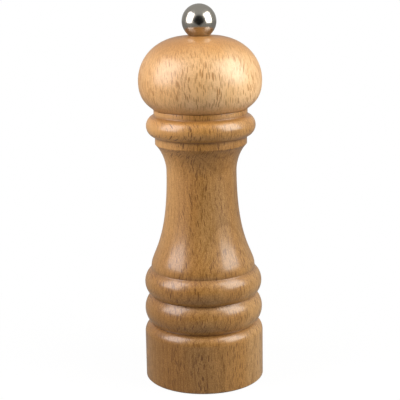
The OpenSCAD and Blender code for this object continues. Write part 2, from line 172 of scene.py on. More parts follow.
# node helpers
def addNode(tree, kind, values=None, **settings):
    # the nodes are laid out nine to a row
    node = tree.nodes.new(kind)
    row, column = divmod(len(tree.nodes) - 1, 9)
    node.location = (200 * column, -260 * row)
    for key, value in settings.items():
        setattr(node, key, value)
    for key, value in (values or {}).items():
        setSocket(tree, node.inputs[key], value)
    return node


def setSocket(tree, socket, value):
    if isinstance(value, bpy.types.NodeSocket):
        tree.links.new(value, socket)
    else:
        socket.default_value = value


def calc(tree, operation, *terms, clamp=False):
    values = dict(enumerate(terms))
    return addNode(tree, "ShaderNodeMath", values, operation=operation, use_clamp=clamp).outputs[0]


def vectorCalc(tree, operation, *terms):
    return addNode(tree, "ShaderNodeVectorMath", dict(enumerate(terms)), operation=operation).outputs


def swing(tree, value, share):
    # how far a noise stands from its middle, times the share
    return calc(tree, "MULTIPLY", calc(tree, "SUBTRACT", value, 0.5), share)


def smoothStep(tree, value, low, high, toLow=0.0, toHigh=1.0):
    values = {"Value": value, "From Min": low, "From Max": high, "To Min": toLow, "To Max": toHigh}
    return addNode(tree, "ShaderNodeMapRange", values, interpolation_type="SMOOTHSTEP").outputs[0]


def joinXyz(tree, x, y, z):
    return addNode(tree, "ShaderNodeCombineXYZ", {"X": x, "Y": y, "Z": z}).outputs[0]


def splitXyz(tree, vector):
    return addNode(tree, "ShaderNodeSeparateXYZ", {0: vector}).outputs


def stretched(tree, place, scales):
    # the place, each of its three values times its own scale
    return joinXyz(tree, *(calc(tree, "MULTIPLY", value, scale) for value, scale in zip(place, scales)))


def noiseAt(tree, place, scale=1.0, detail=2.0, roughness=0.5):
    values = {"Vector": place, "Scale": scale, "Detail": detail, "Roughness": roughness}
    return addNode(tree, "ShaderNodeTexNoise", values).outputs


def blendColours(tree, share, first, second, how="MIX"):
    # a Mix node's colours are its inputs 6 and 7, and the blend is its output 2
    node = addNode(tree, "ShaderNodeMix", data_type="RGBA", blend_type=how)
    for socket, value in ((node.inputs[0], share), (node.inputs[6], first), (node.inputs[7], second)):
        setSocket(tree, socket, value)
    return node.outputs[2]


def startMaterial(name):
    material = bpy.data.materials.new(name)
    material.use_nodes = True
    material.node_tree.nodes.clear()
    tree = material.node_tree
    shader = addNode(tree, "ShaderNodeBsdfPrincipled")
    addNode(tree, "ShaderNodeOutputMaterial", {"Surface": shader.outputs[0]})
    return material, tree, shader


# beech: the group's Place is in millimetres with the pith of the tree on its Z axis, behind
# the mill. Scales run across the rays, outwards from the pith and up the grain. A pair
# gives where a soft step starts and ends.
beech = {
    "wander": (0.03, 0.03, 0.016), "wanderAcross": 9.0, "wanderOut": 6.0,
    "streaks": (1.4, 0.4, 0.045), "fibres": (3.0, 0.7, 0.16), "pores": (3.0, 2.0, 1.5),
    "fibreStep": (0.45, 0.75), "fibreReach": (-0.3, 0.7),
    "ringWidth": 2.8, "lateWood": (0.65, 0.93), "ringEnd": (1.0, 0.97),
    "drift": (0.05, 0.04, 0.011), "driftShare": 0.45, "heartEdge": -12.0,
    "rayOut": 8.0, "rayUp": 4.5, "rayGrowth": 0.26, "rayEdge": (0.05, -0.04), "rayFaint": (0.0, 0.9),
    "faintest": 0.25, "quarterStep": (0.75, 0.98), "silk": 0.35,
    # the blush's side and quarter shares lay painted sheen on one side and on the quartered faces
    "blushAndSheen": (0.07, 0.05, 0.013), "blushAndSheenStep": (0.4, 0.8), "paintedSheenSide": 0.2, "paintedSheenQuarter": 0.6,
    "endStep": (0.45, 1.0), "endRays": 0.35,
    "roughness": 0.4, "roughSwing": 0.16, "fibreHeight": 0.5, "rayHollow": 0.6, "ior": 1.5}
# the inputs that a look sets by itself, and the look's names for them
colourInputs = {
    "Pale Wood": "pale", "Deep Wood": "deep", "Fleck Colour": "fleck",
    "Blush And Sheen Colour": "blushAndSheen", "End Colour": "end"}
shareInputs = {
    "Fleck Share": "fleckShare", "Fibre Share": "fibre", "Pore Share": "pores", "Streak Share": "streaks",
    "Ring Share": "rings", "Ray Width": "rayWidth", "Ray Reach": "rayReach", "Heart Slope": "heartSlope"}


def startFigure():
    tree = bpy.data.node_groups.new("beechFigure", "ShaderNodeTree")
    kinds = {"Place": "NodeSocketVector", "Facing": "NodeSocketVector"}
    kinds.update({name: "NodeSocketColor" for name in colourInputs})
    kinds.update({name: "NodeSocketFloat" for name in (*shareInputs, "Pith Distance", "Tone Shift")})
    for name, kind in kinds.items():
        tree.interface.new_socket(name, in_out="INPUT", socket_type=kind)
    kinds = {"Colour": "NodeSocketColor", "Roughness": "NodeSocketFloat", "Height": "NodeSocketFloat"}
    for name, kind in kinds.items():
        tree.interface.new_socket(name, in_out="OUTPUT", socket_type=kind)
    return tree, addNode(tree, "NodeGroupInput").outputs


def addRays(tree, given, grain, flatPlace):
    # rays are thin lenses that lie along the grain and reach towards the pith
    across, outwards, up = grain
    rayPlace = joinXyz(
        tree, calc(tree, "DIVIDE", across, given["Ray Width"]),
        calc(tree, "DIVIDE", outwards, beech["rayOut"]), calc(tree, "DIVIDE", up, beech["rayUp"]))
    values = {"Vector": rayPlace, "Scale": 1.0, "Randomness": 1.0}
    rays = addNode(tree, "ShaderNodeTexVoronoi", values, feature="F1")
    drawn = addNode(tree, "ShaderNodeSeparateColor", {0: rays.outputs["Color"]}).outputs
    reach = calc(tree, "ADD", calc(tree, "MULTIPLY", drawn[0], beech["rayGrowth"]), given["Ray Reach"])
    lens = smoothStep(tree, calc(tree, "SUBTRACT", rays.outputs["Distance"], reach), *beech["rayEdge"])
    strength = smoothStep(tree, drawn[1], *beech["rayFaint"], beech["faintest"], 1.0)
    lens = calc(tree, "MULTIPLY", lens, strength)
    # a face is quartered where it lies along the rays
    towardsPith = vectorCalc(tree, "NORMALIZE", flatPlace)[0]
    sideways = vectorCalc(tree, "CROSS_PRODUCT", towardsPith, (0.0, 0.0, 1.0))[0]
    alongRay = vectorCalc(tree, "DOT_PRODUCT", given["Facing"], sideways)["Value"]
    quartered = smoothStep(tree, calc(tree, "ABSOLUTE", alongRay), *beech["quarterStep"])
    return lens, quartered


def addTone(tree, given, grain, fromPith, fine):
    # how dark the wood is: streaks, fibres, pores, rings, the heart and a broad drift
    streak = noiseAt(tree, stretched(tree, grain, beech["streaks"]), detail=3.0, roughness=0.6)[0]
    pores = noiseAt(tree, stretched(tree, grain, beech["pores"]), detail=0.0)[0]
    # growth rings: a slow rise of tone that ends in a thin darker line
    phase = calc(tree, "FRACT", calc(tree, "DIVIDE", grain[1], beech["ringWidth"]))
    ring = smoothStep(tree, phase, *beech["lateWood"])
    ring = calc(tree, "MULTIPLY", ring, smoothStep(tree, phase, *beech["ringEnd"]))
    drift = noiseAt(tree, stretched(tree, grain, beech["drift"]), detail=1.0)[0]
    darkFibre = smoothStep(tree, fine, *beech["fibreStep"], *beech["fibreReach"])
    # the wood changes slowly outwards, and no more beyond the edge of the heart
    outwards = calc(tree, "SUBTRACT", fromPith, given["Pith Distance"])
    outwards = calc(tree, "MAXIMUM", outwards, beech["heartEdge"])
    tone = calc(tree, "ADD", given["Tone Shift"], swing(tree, streak, given["Streak Share"]))
    tone = calc(tree, "ADD", tone, calc(tree, "MULTIPLY", darkFibre, given["Fibre Share"]))
    tone = calc(tree, "ADD", tone, swing(tree, pores, given["Pore Share"]))
    tone = calc(tree, "ADD", tone, calc(tree, "MULTIPLY", ring, given["Ring Share"]))
    tone = calc(tree, "ADD", tone, calc(tree, "MULTIPLY", outwards, given["Heart Slope"]))
    return calc(tree, "ADD", tone, swing(tree, drift, beech["driftShare"]), clamp=True)


def addGrain(tree, place, pithDistance):
    # where a place lies across the rays, outwards from the pith and up the grain
    x, y, z = splitXyz(tree, place)
    flatPlace = joinXyz(tree, x, y, 0.0)
    fromPith = vectorCalc(tree, "LENGTH", flatPlace)["Value"]
    angle = calc(tree, "ARCTAN2", x, calc(tree, "MULTIPLY", y, -1.0))
    across = calc(tree, "MULTIPLY", angle, pithDistance)
    # slow wander of the fibres, so that nothing runs dead straight
    wander = noiseAt(tree, stretched(tree, (x, y, z), beech["wander"]))["Color"]
    wander = addNode(tree, "ShaderNodeSeparateColor", {0: wander}).outputs
    across = calc(tree, "ADD", across, swing(tree, wander[0], beech["wanderAcross"]))
    outwards = calc(tree, "ADD", fromPith, swing(tree, wander[1], beech["wanderOut"]))
    return (across, outwards, z), flatPlace, fromPith


def addBlushAndSheen(tree, grain, side, quartered):
    # rosier and more golden stretches along the billet, with painted sheen: the same tint laid more heavily
    # on the faces turned to one side and on the quartered faces
    blushAndSheen = noiseAt(tree, stretched(tree, grain, beech["blushAndSheen"]), detail=1.0)[0]
    blushAndSheen = calc(tree, "ADD", blushAndSheen, calc(tree, "MULTIPLY", side, beech["paintedSheenSide"]))
    blushAndSheen = smoothStep(tree, blushAndSheen, *beech["blushAndSheenStep"])
    return calc(tree, "MAXIMUM", blushAndSheen, calc(tree, "MULTIPLY", quartered, beech["paintedSheenQuarter"]))


def buildBeechFigure():
    tree, given = startFigure()
    grain, flatPlace, fromPith = addGrain(tree, given["Place"], given["Pith Distance"])
    fine = noiseAt(tree, stretched(tree, grain, beech["fibres"]), detail=1.0)[0]
    lens, quartered = addRays(tree, given, grain, flatPlace)
    tone = addTone(tree, given, grain, fromPith, fine)
    wood = blendColours(tree, tone, given["Pale Wood"], given["Deep Wood"])
    faced = splitXyz(tree, given["Facing"])
    # random blush and painted sheen, multiplied into the wood
    blushAndSheen = addBlushAndSheen(tree, grain, faced[0], quartered)
    wood = blendColours(tree, blushAndSheen, wood, given["Blush And Sheen Colour"], "MULTIPLY")
    # end grain takes more of the oil
    endGrain = smoothStep(tree, calc(tree, "ABSOLUTE", faced[2]), *beech["endStep"])
    wood = blendColours(tree, endGrain, wood, given["End Colour"], "MULTIPLY")
    # rays are dark where they are cut across, and pale and silky on a quartered face
    cut = calc(tree, "SUBTRACT", 1.0, quartered)
    darkRay = calc(tree, "MULTIPLY", calc(tree, "MULTIPLY", lens, cut), given["Fleck Share"])
    darkRay = calc(tree, "MULTIPLY", darkRay, smoothStep(tree, endGrain, 0.0, 1.0, 1.0, beech["endRays"]))
    wood = blendColours(tree, darkRay, wood, given["Fleck Colour"])
    silk = calc(tree, "MULTIPLY", calc(tree, "MULTIPLY", lens, quartered), beech["silk"])
    wood = blendColours(tree, silk, wood, given["Pale Wood"])

    rough = calc(tree, "ADD", beech["roughness"], swing(tree, fine, beech["roughSwing"]))
    hollow = calc(tree, "MULTIPLY", darkRay, beech["rayHollow"])
    height = calc(tree, "SUBTRACT", calc(tree, "MULTIPLY", fine, beech["fibreHeight"]), hollow)
    addNode(tree, "NodeGroupOutput", {"Colour": wood, "Roughness": rough, "Height": height})
    return tree


beechFigure = buildBeechFigure()


def addCreaseShade(tree, look, height, wood):
    # painted shade: the wood is darkened in a soft band round each turned crease
    creaseShade = 0.0
    for crease, reach, depth in look["creases"]:
        away = calc(tree, "ABSOLUTE", calc(tree, "SUBTRACT", height, crease * mm))
        creaseShade = calc(tree, "MAXIMUM", creaseShade, smoothStep(tree, away, reach * mm, 0.0, 0.0, depth))
    return blendColours(tree, creaseShade, wood, (*look["creaseShade"], 1))


def beechMaterial(name, look):
    material, tree, shader = startMaterial(name)
    place = addNode(tree, "ShaderNodeTexCoord").outputs
    centred = addNode(tree, "ShaderNodeMapping", {
        "Vector": place["Object"],
        "Location": (-look["pith"][0], -look["pith"][1], look["offset"]),
        "Rotation": [math.radians(a) for a in look["lean"]],
        "Scale": (1 / mm, 1 / mm, 1 / mm)}).outputs[0]
    # painted light and shade: faces turned to one side are darker low down and paler high up, and faces
    # turned to the other side the other way round
    height = splitXyz(tree, place["Object"])[2]
    side = splitXyz(tree, place["Normal"])[0]
    low, high, toLow, toHigh = look["paintedSideLight"]
    paintedSideLight = calc(tree, "MULTIPLY", side, smoothStep(tree, height, low * mm, high * mm, toLow, toHigh))
    low, high, paler = look["paleAbove"]
    level = smoothStep(tree, height, low * mm, high * mm, look["tone"], look["tone"] - paler)

    # the tone shift holds the painted side light and shade and the paler top
    values = {"Place": centred, "Facing": place["Normal"], "Tone Shift": calc(tree, "ADD", paintedSideLight, level)}
    values["Pith Distance"] = math.hypot(*look["pith"])
    values.update({socket: (*look[key], 1) for socket, key in colourInputs.items()})
    values.update({socket: look[key] for socket, key in shareInputs.items()})
    figure = addNode(tree, "ShaderNodeGroup", node_tree=beechFigure)
    for socket, value in values.items():
        setSocket(tree, figure.inputs[socket], value)
    # the base colour carries painted shade in the creases
    setSocket(tree, shader.inputs["Base Color"], addCreaseShade(tree, look, height, figure.outputs["Colour"]))
    setSocket(tree, shader.inputs["Roughness"], figure.outputs["Roughness"])
    values = {"Strength": look["bump"], "Distance": look["relief"] * mm, "Height": figure.outputs["Height"]}
    setSocket(tree, shader.inputs["Normal"], addNode(tree, "ShaderNodeBump", values).outputs[0])
    shader.inputs["Coat Weight"].default_value = look["varnish"]
    shader.inputs["Coat Roughness"].default_value = look["gloss"]
    shader.inputs["IOR"].default_value = beech["ior"]
    return material


# a crease is (height, reach, depth of the painted shade), the painted side light and shade, twist, is
# (low, high, share low, share high) and paleAbove is (low, high, how much paler)
bodyLook = {
    "pith": (-43, 61), "offset": 0, "lean": (2, 1, 0),
    "pale": (0.58, 0.29, 0.078), "deep": (0.27, 0.116, 0.019), "fleck": (0.15, 0.055, 0.008),
    # the blush colour is also the tint of the painted sheen
    "blushAndSheen": (1.04, 1.17, 1.62), "end": (1.0, 0.97, 0.9),
    "fleckShare": 0.95, "rayWidth": 0.4, "rayReach": 0.19, "streaks": 0.5, "fibre": 0.3, "pores": 0.9,
    "rings": 0.2, "tone": 0.45, "heartSlope": 0.006,
    "paintedSideLight": (20, 105, -0.45, 0.28), "paleAbove": (126, 141, 0.38),
    "bump": 0.35, "relief": 0.1, "varnish": 0.52, "gloss": 0.19,
    "creases": (
        (31.6, 1.6, 0.36), (47.4, 1.8, 0.36), (61.8, 2.0, 0.34), (134.3, 1.4, 0.4), (145.9, 1.8, 0.5)),
    "creaseShade": (0.14, 0.06, 0.02)}
headLook = {
    "pith": (6, 68), "offset": 64, "lean": (-2, 2, 0),
    "pale": (0.81, 0.48, 0.2), "deep": (0.43, 0.22, 0.072), "fleck": (0.36, 0.145, 0.025),
    "blushAndSheen": (1.0, 1.09, 1.35), "end": (0.79, 0.67, 0.5),
    "fleckShare": 0.85, "rayWidth": 0.45, "rayReach": 0.24, "streaks": 0.5, "fibre": 0.35, "pores": 0.7,
    "rings": 0.07, "tone": 0.65, "heartSlope": -0.021,
    "paintedSideLight": (150, 180, -0.25, -0.02), "paleAbove": (150, 165, 0.0),
    "bump": 0.35, "relief": 0.1, "varnish": 0.42, "gloss": 0.3,
    "creases": ((149.0, 1.6, 0.35),), "creaseShade": (0.24, 0.12, 0.04)}
finishes = {
    "body_wood": beechMaterial("bodyBeech", bodyLook),
    "head_wood": beechMaterial("headBeech", headLook)}
print("beech ready")


# metals and plastic: grain and cloud are the scales, per metre, of the fine scratches and
# of the broad wear, and the roughness goes from polished to dull
metalLooks = {
    "polished_steel": {
        "grain": (300, 300, 300), "cloud": 90, "roughness": (0.19, 0.24), "bump": 0.01,
        "dark": (0.46, 0.435, 0.385), "bright": (0.54, 0.515, 0.46)},
    "bright_steel": {
        "grain": (1500, 1500, 60), "cloud": 60, "roughness": (0.22, 0.36), "bump": 0.12,
        "dark": (0.45, 0.45, 0.44), "bright": (0.66, 0.66, 0.65)},
    "plated_steel": {
        "grain": (500, 500, 500), "cloud": 120, "roughness": (0.26, 0.42), "bump": 0.08,
        "dark": (0.5, 0.51, 0.53), "bright": (0.68, 0.69, 0.71)},
    "screw_steel": {
        "grain": (900, 900, 900), "cloud": 200, "roughness": (0.25, 0.4), "bump": 0.08,
        "dark": (0.44, 0.43, 0.4), "bright": (0.62, 0.61, 0.57)},
    "hardened_steel": {
        "grain": (700, 700, 700), "cloud": 160, "roughness": (0.4, 0.58), "bump": 0.2,
        "dark": (0.1, 0.095, 0.09), "bright": (0.22, 0.21, 0.2)},
    "spring_steel": {
        "grain": (1200, 1200, 1200), "cloud": 200, "roughness": (0.25, 0.38), "bump": 0.06,
        "dark": (0.3, 0.3, 0.32), "bright": (0.46, 0.47, 0.5)},
    "nylon": {
        "grain": (800, 800, 800), "cloud": 150, "roughness": (0.42, 0.55), "bump": 0.05, "metallic": 0.0,
        "dark": (0.66, 0.62, 0.52), "bright": (0.76, 0.73, 0.64)},
}
wear = {"scratchShare": 0.6, "scratchDepth": 0.05, "detail": 4.0, "roughness": 0.6, "step": (0.3, 0.7)}


def metalMaterial(name, look):
    material, tree, shader = startMaterial(name)
    place = addNode(tree, "ShaderNodeTexCoord").outputs["Object"]
    grain = addNode(tree, "ShaderNodeMapping", {"Vector": place, "Scale": look["grain"]}).outputs[0]
    scratches = noiseAt(tree, grain, detail=wear["detail"], roughness=wear["roughness"])[0]
    cloud = noiseAt(tree, place, look["cloud"])[0]
    cloud = calc(tree, "MULTIPLY", cloud, 1 - wear["scratchShare"])
    worn = calc(tree, "ADD", calc(tree, "MULTIPLY", scratches, wear["scratchShare"]), cloud)
    polished, dull = look["roughness"]
    colour = blendColours(tree, worn, (*look["dark"], 1), (*look["bright"], 1))
    values = {"Strength": look["bump"], "Distance": wear["scratchDepth"] * mm, "Height": scratches}
    bump = addNode(tree, "ShaderNodeBump", values)
    setSocket(tree, shader.inputs["Base Color"], colour)
    setSocket(tree, shader.inputs["Roughness"], smoothStep(tree, worn, *wear["step"], dull, polished))
    setSocket(tree, shader.inputs["Normal"], bump.outputs[0])
    shader.inputs["Metallic"].default_value = look.get("metallic", 1.0)
    return material


finishes.update({slot: metalMaterial(slot, look) for slot, look in metalLooks.items()})
print("metals ready:", len(finishes), "finishes")


# the body's outline runs up the outside and down the stepped bore. A pull says how far a
# curve's handle reaches, as a share of the height or the width that the curve spans.
body = {
    "footRadius": 32.4, "wallHeight": 26, "rimChamfer": 0.8, "shoulderHeight": 5.6, "shoulderSwell": 1,
    "creaseRadius": 28.6, "lowerBead": 15.8, "upperBead": 14.4, "beadSwell": 3.5,
    "lipRadius": 28.1, "flareHeight": 53.5, "flareSpread": 1.2, "flarePull": 0.15, "waistPull": 0.78,
    "waistRadius": 18.85, "coveHeight": 15, "covePull": 0.4, "ledgeReach": 0.54, "ledgePull": 0.2,
    "stepRadius": 24.6, "stepHeight": 4, "collarHeight": 11.6, "collarSwell": 4.4,
    "neckRadius": 25, "neckHeight": 3,
    "socketRadius": 14.9, "socketFloor": 139, "chamberRadius": 12.5, "chamberFloor": 34.6,
    "shellBore": 16.4, "recessDepth": 9, "recessRadius": 23.4,
    "wallSteps": 6, "shoulderSteps": 12, "beadSteps": 28, "flareSteps": 40, "coveSteps": 24,
    "steps": 144, "brokenEdge": 0.25, "sharpness": 28}


def bodySide():
    b = body
    crease = b["wallHeight"] + b["shoulderHeight"]
    bead = crease + b["lowerBead"]
    lip = bead + b["upperBead"]
    waist = lip + b["flareHeight"]
    step = waist + b["coveHeight"]
    collar = step + b["stepHeight"]
    collarTop = collar + b["collarHeight"]
    foot, low = (b["footRadius"], b["wallHeight"]), (b["creaseRadius"], crease)
    mid, high = (b["creaseRadius"], bead), (b["lipRadius"], lip)
    narrow, ledge = (b["waistRadius"], waist), (b["stepRadius"], step)
    spread = b["stepRadius"] - b["waistRadius"]
    lipHandle = (b["lipRadius"] + b["flareSpread"], lip + b["flarePull"] * b["flareHeight"])
    waistHandle = (b["waistRadius"], waist - b["waistPull"] * b["flareHeight"])
    coveHandle = (b["waistRadius"], waist + b["covePull"] * b["coveHeight"])
    ledgeHandle = (b["stepRadius"] - b["ledgeReach"] * spread, step - b["ledgePull"] * b["coveHeight"])
    side = [(b["footRadius"] - b["rimChamfer"], 0), (b["footRadius"], b["rimChamfer"])]
    side += [(b["footRadius"], b["wallHeight"] * k / b["wallSteps"]) for k in range(1, b["wallSteps"])]
    side += [foot]
    side += arcPoints(foot, low, b["shoulderSwell"], b["shoulderSteps"])
    side += arcPoints(low, mid, b["beadSwell"], b["beadSteps"])
    side += arcPoints(mid, high, b["beadSwell"], b["beadSteps"])
    side += curvePoints(high, lipHandle, waistHandle, narrow, b["flareSteps"])
    side += curvePoints(narrow, coveHandle, ledgeHandle, ledge, b["coveSteps"])
    side += [(b["stepRadius"], collar)]
    neck = (b["neckRadius"], collarTop)
    side += arcPoints((b["stepRadius"], collar), neck, b["collarSwell"], b["beadSteps"])
    return side + [(b["neckRadius"], collarTop + b["neckHeight"])]


def bodyBore(top):
    b = body
    bore = [(b["socketRadius"], top), (b["socketRadius"], b["socketFloor"])]
    bore += [(b["chamberRadius"], b["socketFloor"]), (b["chamberRadius"], b["chamberFloor"])]
    bore += [(b["shellBore"], b["chamberFloor"]), (b["shellBore"], b["recessDepth"])]
    return bore + [(b["recessRadius"], b["recessDepth"]), (b["recessRadius"], 0)]


def buildBody():
    side = bodySide()
    outline = side + bodyBore(side[-1][1]) + side[:1]
    piece = turnOutline("turnedBody", outline, body["steps"])
    roundEdges(piece, body["brokenEdge"], body["sharpness"])
    shadeSmooth(piece)
    putOnBody(piece, "mill_body", "body_wood", "body")


buildBody()
print("body turned")


# here topReach is a share of the cheek's radius, and edgeSpread and edgeRise are lengths
head = {
    "edgeRadius": 25, "bottom": 149, "cheekRadius": 32.75, "cheekHeight": 14.8, "domeHeight": 23.5,
    "edgeSpread": 3.7, "edgeRise": 2.8, "cheekPull": 0.6, "domePull": 0.55, "topReach": 0.48,
    "flatRadius": 6.5, "topHoleRadius": 3, "topHole": 9, "boreRadius": 4.75, "boreCone": 1.5,
    "tenonRadius": 14.6, "tenonLength": 8.5, "tenonChamfer": 0.5,
    "cheekSteps": 24, "domeSteps": 44, "steps": 144, "brokenEdge": 0.25, "sharpness": 28}


def headOutline():
    h = head
    cheek = h["bottom"] + h["cheekHeight"]
    top = cheek + h["domeHeight"]
    tenon = h["bottom"] - h["tenonLength"]
    ceiling = top - h["topHole"]
    edge, wide, flat = (h["edgeRadius"], h["bottom"]), (h["cheekRadius"], cheek), (h["flatRadius"], top)
    edgeHandle = (h["edgeRadius"] + h["edgeSpread"], h["bottom"] + h["edgeRise"])
    lowHandle = (h["cheekRadius"], cheek - h["cheekPull"] * h["cheekHeight"])
    highHandle = (h["cheekRadius"], cheek + h["domePull"] * h["domeHeight"])
    topHandle = (h["flatRadius"] + h["topReach"] * h["cheekRadius"], top)
    outline = [edge]
    outline += curvePoints(edge, edgeHandle, lowHandle, wide, h["cheekSteps"])
    outline += curvePoints(wide, highHandle, topHandle, flat, h["domeSteps"])
    outline += [(h["topHoleRadius"], top), (h["topHoleRadius"], ceiling)]
    outline += [(h["boreRadius"], ceiling - h["boreCone"]), (h["boreRadius"], tenon)]
    outline += [(h["tenonRadius"] - h["tenonChamfer"], tenon), (h["tenonRadius"], tenon + h["tenonChamfer"])]
    return outline + [(h["tenonRadius"], h["bottom"]), edge]


def buildHead():
    piece = turnOutline("turnedHead", headOutline(), head["steps"])
    roundEdges(piece, head["brokenEdge"], head["sharpness"])
    shadeSmooth(piece)
    putOnBody(piece, "head", "head_wood", "head")


buildHead()
print("head turned")


knob = {
    "ballRadius": 9.1, "centre": 194.8, "foot": 187.4, "flare": 0.3, "boreRadius": 2.55, "boreTop": 196.5,
    "sideSteps": 48, "steps": 96, "brokenEdge": 0.12, "sharpness": 40}


def knobOutline():
    # the bore, the foot, a short cone that meets the ball at a tangent, and the ball
    k = knob
    lift = k["centre"] - k["foot"]
    footRadius = math.sqrt(k["ballRadius"] ** 2 - lift ** 2) + k["flare"]
    joined = math.acos(k["ballRadius"] / math.hypot(footRadius, lift)) - math.atan2(lift, footRadius)
    outline = [(0, k["boreTop"]), (k["boreRadius"], k["boreTop"]), (k["boreRadius"], k["foot"])]
    outline.append((footRadius, k["foot"]))
    for i in range(k["sideSteps"]):
        t = joined + (math.pi / 2 - joined) * i / k["sideSteps"]
        outline.append((k["ballRadius"] * math.cos(t), k["centre"] + k["ballRadius"] * math.sin(t)))
    return outline + [(0, k["centre"] + k["ballRadius"])]


def buildKnob():
    piece = turnOutline("polishedKnob", knobOutline(), knob["steps"])
    roundEdges(piece, knob["brokenEdge"], knob["sharpness"])
    shadeSmooth(piece)
    putOnBody(piece, "knob", "polished_steel", "ball_knob")


buildKnob()
print("knob turned")


spindle = {
    "flats": 6, "cornerBreak": 0.35, "cornerSteps": 4, "barBottom": 8.2, "barTop": 175.3, "overlap": 0.1,
    "threadRadius": 2.5, "threadTop": 195.3, "pitch": 0.8, "threadDepth": 0.42, "crest": 0.12,
    "flankReach": 0.46, "rootSink": 0.05, "chamfer": 0.45, "stepsPerTurn": 24,
    "journalRadius": 2.5, "journalBottom": 2.7, "journalBreak": 0.5,
    "grooveLow": 6.7, "grooveHigh": 7.4, "grooveDepth": 0.5, "steps": 48, "sharpness": 30}


def threadRidge():
    # one closed section of the thread, its root sunk into the core, carried up by a screw
    k = spindle
    root, crest = k["threadRadius"] - k["threadDepth"] - k["rootSink"], k["threadRadius"]
    base = k["barTop"] + k["pitch"]
    half, flat = k["flankReach"] * k["pitch"], k["crest"] / 2
    section = [(root, base - half), (crest, base - flat), (crest, base + flat), (root, base + half)]
    ridge = drawLine("threadRidge", [(r, 0, z) for r, z in section + section[:1]])
    mergeDoubles()
    bpy.ops.object.mode_set(mode="OBJECT")
    screw = ridge.modifiers.new("turns", "SCREW")
    screw.axis, screw.angle, screw.screw_offset = "Z", 2 * math.pi, k["pitch"] * mm
    screw.steps = screw.render_steps = k["stepsPerTurn"]
    screw.iterations = int((k["threadTop"] - base - k["chamfer"] - half) / k["pitch"])
    bpy.ops.object.modifier_apply(modifier=screw.name)
    bpy.ops.object.mode_set(mode="EDIT")
    bpy.ops.mesh.select_all(action="SELECT")
    bpy.ops.mesh.fill_holes(sides=len(section))
    faceOutwards()
    return ridge


def squareBar():
    k = spindle
    tall = k["barTop"] - k["barBottom"]
    scale = (k["flats"] * mm, k["flats"] * mm, tall * mm)
    deselectAll()
    bpy.ops.mesh.primitive_cube_add(size=1, location=(0, 0, (k["barBottom"] + tall / 2) * mm), scale=scale)
    bar = bpy.context.active_object
    bpy.ops.object.transform_apply(location=True, rotation=True, scale=True)
    bpy.ops.object.mode_set(mode="EDIT")
    bpy.ops.mesh.select_mode(type="EDGE")
    bpy.ops.mesh.select_all(action="DESELECT")
    bpy.ops.object.mode_set(mode="OBJECT")
    # the four upright edges are broken
    for edge in bar.data.edges:
        low, high = (bar.data.vertices[v].co for v in edge.vertices)
        edge.select = abs(low.z - high.z) > tall * mm / 2
    bpy.ops.object.mode_set(mode="EDIT")
    bpy.ops.mesh.bevel(offset=k["cornerBreak"] * mm, segments=k["cornerSteps"], affect="EDGES")
    bpy.ops.object.mode_set(mode="OBJECT")
    return bar


def buildSpindle():
    k = spindle
    core, groove = k["threadRadius"] - k["threadDepth"], k["journalRadius"] - k["grooveDepth"]
    start, end, top = k["barTop"] - k["overlap"], k["barBottom"] + k["overlap"], k["threadTop"]
    journal, low = k["journalRadius"], k["journalBottom"]
    bar = squareBar()
    rod = turnOutline("threadCore", [
        (0, start), (core, start), (core, top - k["chamfer"]), (core - k["chamfer"], top), (0, top)],
        k["steps"])
    foot = turnOutline("journal", [
        (0, low), (journal - k["journalBreak"], low), (journal, low + k["journalBreak"]),
        (journal, k["grooveLow"]), (groove, k["grooveLow"]), (groove, k["grooveHigh"]),
        (journal, k["grooveHigh"]), (journal, end), (0, end)], k["steps"])
    ridge = threadRidge()
    deselectAll()
    for part in (bar, rod, foot, ridge):
        part.select_set(True)
    bpy.context.view_layer.objects.active = bar
    bpy.ops.object.join()
    bar.name = bar.data.name = "threadedSpindle"
    shadeSmooth(bar, k["sharpness"])
    putOnBody(bar, "spindle", "bright_steel", "spindle")


buildSpindle()
print("spindle threaded")


spring = {
    "radius": 5.148, "wire": 0.9, "bottom": 21, "length": 9, "openTurns": 3.5, "closedRise": 0.95,
    "stepsPerTurn": 32, "wireSteps": 3, "sharpness": 50}


def coilPlaces():
    # a closed turn at each end and the open turns between them
    k = spring
    turns = k["openTurns"] + 2
    openRise = k["length"] - k["wire"] - 2 * k["closedRise"]
    low = k["bottom"] + k["wire"] / 2
    places = []
    for i in range(int(turns * k["stepsPerTurn"]) + 1):
        t = i / k["stepsPerTurn"]
        turned = 2 * math.pi * t
        rise = k["closedRise"] * min(t, 1) + openRise * min(max(t - 1, 0) / k["openTurns"], 1)
        rise += k["closedRise"] * max(t - turns + 1, 0)
        places.append((k["radius"] * math.cos(turned), k["radius"] * math.sin(turned), low + rise))
    return places


def buildSpring():
    k = spring
    drawLine("coilSpring", coilPlaces())
    bpy.ops.object.mode_set(mode="OBJECT")
    bpy.ops.object.convert(target="CURVE")
    coil = bpy.context.active_object
    coil.data.bevel_depth = k["wire"] / 2 * mm
    coil.data.bevel_resolution = k["wireSteps"]
    coil.data.use_fill_caps = True
    bpy.ops.object.convert(target="MESH")
    coil = bpy.context.active_object
    bpy.ops.object.mode_set(mode="EDIT")
    mergeDoubles()
    faceOutwards()
    shadeSmooth(coil, k["sharpness"])
    paint(coil, "spring_steel")
    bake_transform(coil)
    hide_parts("spring")


buildSpring()
print("spring wound")


# stampings, screws and the moulded bush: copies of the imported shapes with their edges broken
brokenEdges = {
    "mechanism_housing": 0.12, "retaining_bar": 0.2, "bar_screws": 0.08,
    "drive_plate": 0.12, "drive_plate_screws": 0.05,
    "thrust_washer": 0.08, "rotor_washer": 0.08, "rotor_clip": 0.06, "guide_bush": 0.12}
softening = {"flatAngle": 1, "sharpness": 30}


